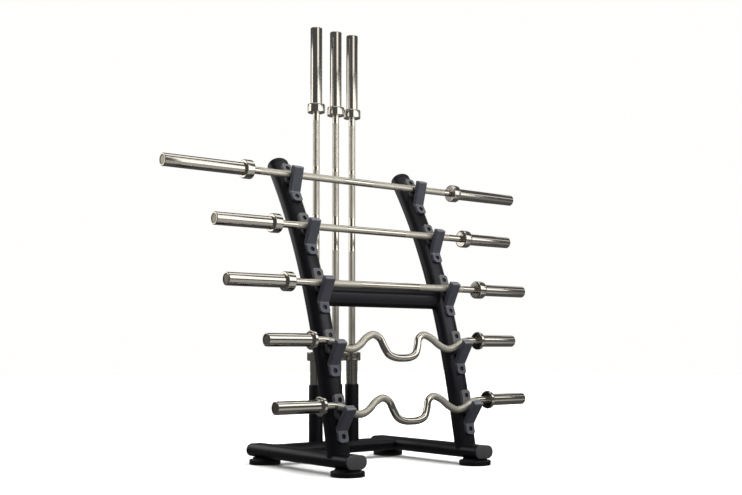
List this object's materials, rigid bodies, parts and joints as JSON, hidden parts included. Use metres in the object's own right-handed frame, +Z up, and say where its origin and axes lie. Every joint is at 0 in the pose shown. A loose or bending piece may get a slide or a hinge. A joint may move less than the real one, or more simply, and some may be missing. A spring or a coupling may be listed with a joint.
{
  "type": "barbell storage rack",
  "caption": "Free-standing rack whose leaning uprights carry barbells across V-shaped hooks, with upright sockets on the base for bars stored on end.",
  "frame": {"origin": "on the floor, under the middle of the whole rack with its bars at rest", "axes": "+X along the hung bars, -Y towards the side the hooks face, +Z up"},
  "size_m": [1.829, 0.7, 1.8439],
  "materials": {
    "frame": "satin black powder coat",
    "hook_arm": "matt dark grey coat",
    "hook_pad": "matt grey",
    "rail_cap": "matt dark grey",
    "foot_rubber": "matt black",
    "bar_shaft": "satin, knurled at the grips",
    "bar_sleeve": "smooth"
  },
  "bodies": {
    "rack": {"base_rail_left": "frame", "rail_cap_left": "rail_cap", "upright_left": "frame", "foot_front_left": "foot_rubber", "foot_rear_left": "foot_rubber", "base_rail_right": "frame", "rail_cap_right": "rail_cap", "upright_right": "frame", "foot_front_right": "foot_rubber", "foot_rear_right": "foot_rubber", "rear_member": "frame", "crossbeam": "frame", "socket_left": "frame", "socket_middle": "frame", "socket_right": "frame", "hook_left_1": "hook_arm", "hook_pad_left_1": "hook_pad", "hook_right_1": "hook_arm", "hook_pad_right_1": "hook_pad", "hook_left_2": "hook_arm", "hook_pad_left_2": "hook_pad", "hook_right_2": "hook_arm", "hook_pad_right_2": "hook_pad", "hook_left_3": "hook_arm", "hook_pad_left_3": "hook_pad", "hook_right_3": "hook_arm", "hook_pad_right_3": "hook_pad", "hook_left_4": "hook_arm", "hook_pad_left_4": "hook_pad", "hook_right_4": "hook_arm", "hook_pad_right_4": "hook_pad", "hook_left_5": "hook_arm", "hook_pad_left_5": "hook_pad", "hook_right_5": "hook_arm", "hook_pad_right_5": "hook_pad"},
    "top_bar": {"top_bar_shaft": "bar_shaft"},
    "top_bar_sleeve_left": {"top_bar_sleeve_left": "bar_sleeve"},
    "top_bar_sleeve_right": {"top_bar_sleeve_right": "bar_sleeve"},
    "upper_bar": {"upper_bar_shaft": "bar_shaft"},
    "upper_bar_sleeve_left": {"upper_bar_sleeve_left": "bar_sleeve"},
    "upper_bar_sleeve_right": {"upper_bar_sleeve_right": "bar_sleeve"},
    "middle_bar": {"middle_bar_shaft": "bar_shaft"},
    "middle_bar_sleeve_left": {"middle_bar_sleeve_left": "bar_sleeve"},
    "middle_bar_sleeve_right": {"middle_bar_sleeve_right": "bar_sleeve"},
    "upper_curl_bar": {"upper_curl_bar_shaft": "bar_shaft"},
    "upper_curl_bar_sleeve_left": {"upper_curl_bar_sleeve_left": "bar_sleeve"},
    "upper_curl_bar_sleeve_right": {"upper_curl_bar_sleeve_right": "bar_sleeve"},
    "lower_curl_bar": {"lower_curl_bar_shaft": "bar_shaft"},
    "lower_curl_bar_sleeve_left": {"lower_curl_bar_sleeve_left": "bar_sleeve"},
    "lower_curl_bar_sleeve_right": {"lower_curl_bar_sleeve_right": "bar_sleeve"},
    "standing_bar_left": {"standing_bar_left_shaft": "bar_shaft"},
    "standing_bar_left_sleeve_bottom": {"standing_bar_left_sleeve_bottom": "bar_sleeve"},
    "standing_bar_left_sleeve_top": {"standing_bar_left_sleeve_top": "bar_sleeve"},
    "standing_bar_middle": {"standing_bar_middle_shaft": "bar_shaft"},
    "standing_bar_middle_sleeve_bottom": {"standing_bar_middle_sleeve_bottom": "bar_sleeve"},
    "standing_bar_middle_sleeve_top": {"standing_bar_middle_sleeve_top": "bar_sleeve"},
    "standing_bar_right": {"standing_bar_right_shaft": "bar_shaft"},
    "standing_bar_right_sleeve_bottom": {"standing_bar_right_sleeve_bottom": "bar_sleeve"},
    "standing_bar_right_sleeve_top": {"standing_bar_right_sleeve_top": "bar_sleeve"}
  },
  "joints": [
    {"name": "top_bar_lift", "type": "slide", "parent": "rack", "child": "top_bar", "axis": [0, 0, 1], "range_m": [0, 0.1]},
    {"name": "top_bar_left_sleeve_spin", "type": "hinge", "parent": "top_bar", "child": "top_bar_sleeve_left", "pos_m": [-0.528, 0.07947, 1.17643], "axis": [1, 0, 0], "continuous": true},
    {"name": "top_bar_right_sleeve_spin", "type": "hinge", "parent": "top_bar", "child": "top_bar_sleeve_right", "pos_m": [0.528, 0.07947, 1.17643], "axis": [1, 0, 0], "continuous": true},
    {"name": "upper_bar_lift", "type": "slide", "parent": "rack", "child": "upper_bar", "axis": [0, 0, 1], "range_m": [0, 0.1]},
    {"name": "upper_bar_left_sleeve_spin", "type": "hinge", "parent": "upper_bar", "child": "upper_bar_sleeve_left", "pos_m": [-0.474, -0.03637, 0.95898], "axis": [1, 0, 0], "continuous": true},
    {"name": "upper_bar_right_sleeve_spin", "type": "hinge", "parent": "upper_bar", "child": "upper_bar_sleeve_right", "pos_m": [0.486, -0.03637, 0.95898], "axis": [1, 0, 0], "continuous": true},
    {"name": "middle_bar_lift", "type": "slide", "parent": "rack", "child": "middle_bar", "axis": [0, 0, 1], "range_m": [0, 0.1]},
    {"name": "middle_bar_left_sleeve_spin", "type": "hinge", "parent": "middle_bar", "child": "middle_bar_sleeve_left", "pos_m": [-0.477, -0.12926, 0.73011], "axis": [1, 0, 0], "continuous": true},
    {"name": "middle_bar_right_sleeve_spin", "type": "hinge", "parent": "middle_bar", "child": "middle_bar_sleeve_right", "pos_m": [0.483, -0.12926, 0.73011], "axis": [1, 0, 0], "continuous": true},
    {"name": "upper_curl_bar_lift", "type": "slide", "parent": "rack", "child": "upper_curl_bar", "axis": [0, 0, 1], "range_m": [0, 0.1]},
    {"name": "upper_curl_bar_left_sleeve_spin", "type": "hinge", "parent": "upper_curl_bar", "child": "upper_curl_bar_sleeve_left", "pos_m": [-0.424, -0.19721, 0.50938], "axis": [1, 0, 0], "continuous": true},
    {"name": "upper_curl_bar_right_sleeve_spin", "type": "hinge", "parent": "upper_curl_bar", "child": "upper_curl_bar_sleeve_right", "pos_m": [0.424, -0.19721, 0.50938], "axis": [1, 0, 0], "continuous": true},
    {"name": "lower_curl_bar_lift", "type": "slide", "parent": "rack", "child": "lower_curl_bar", "axis": [0, 0, 1], "range_m": [0, 0.1]},
    {"name": "lower_curl_bar_left_sleeve_spin", "type": "hinge", "parent": "lower_curl_bar", "child": "lower_curl_bar_sleeve_left", "pos_m": [-0.424, -0.25579, 0.26266], "axis": [1, 0, 0], "continuous": true},
    {"name": "lower_curl_bar_right_sleeve_spin", "type": "hinge", "parent": "lower_curl_bar", "child": "lower_curl_bar_sleeve_right", "pos_m": [0.424, -0.25579, 0.26266], "axis": [1, 0, 0], "continuous": true},
    {"name": "standing_bar_left_lift", "type": "slide", "parent": "rack", "child": "standing_bar_left", "axis": [0, 0, 1], "range_m": [0, 0.32]},
    {"name": "standing_bar_left_bottom_sleeve_spin", "type": "hinge", "parent": "standing_bar_left", "child": "standing_bar_left_sleeve_bottom", "pos_m": [-0.1112, 0.222, 0.4619], "axis": [0, 0, 1], "continuous": true},
    {"name": "standing_bar_left_top_sleeve_spin", "type": "hinge", "parent": "standing_bar_left", "child": "standing_bar_left_sleeve_top", "pos_m": [-0.1112, 0.222, 1.4799], "axis": [0, 0, 1], "continuous": true},
    {"name": "standing_bar_middle_lift", "type": "slide", "parent": "rack", "child": "standing_bar_middle", "axis": [0, 0, 1], "range_m": [0, 0.32]},
    {"name": "standing_bar_middle_bottom_sleeve_spin", "type": "hinge", "parent": "standing_bar_middle", "child": "standing_bar_middle_sleeve_bottom", "pos_m": [-0.0079, 0.222, 0.4619], "axis": [0, 0, 1], "continuous": true},
    {"name": "standing_bar_middle_top_sleeve_spin", "type": "hinge", "parent": "standing_bar_middle", "child": "standing_bar_middle_sleeve_top", "pos_m": [-0.0079, 0.222, 1.4799], "axis": [0, 0, 1], "continuous": true},
    {"name": "standing_bar_right_lift", "type": "slide", "parent": "rack", "child": "standing_bar_right", "axis": [0, 0, 1], "range_m": [0, 0.32]},
    {"name": "standing_bar_right_bottom_sleeve_spin", "type": "hinge", "parent": "standing_bar_right", "child": "standing_bar_right_sleeve_bottom", "pos_m": [0.08093, 0.222, 0.4619], "axis": [0, 0, 1], "continuous": true},
    {"name": "standing_bar_right_top_sleeve_spin", "type": "hinge", "parent": "standing_bar_right", "child": "standing_bar_right_sleeve_top", "pos_m": [0.08093, 0.222, 1.4799], "axis": [0, 0, 1], "continuous": true}
  ]
}
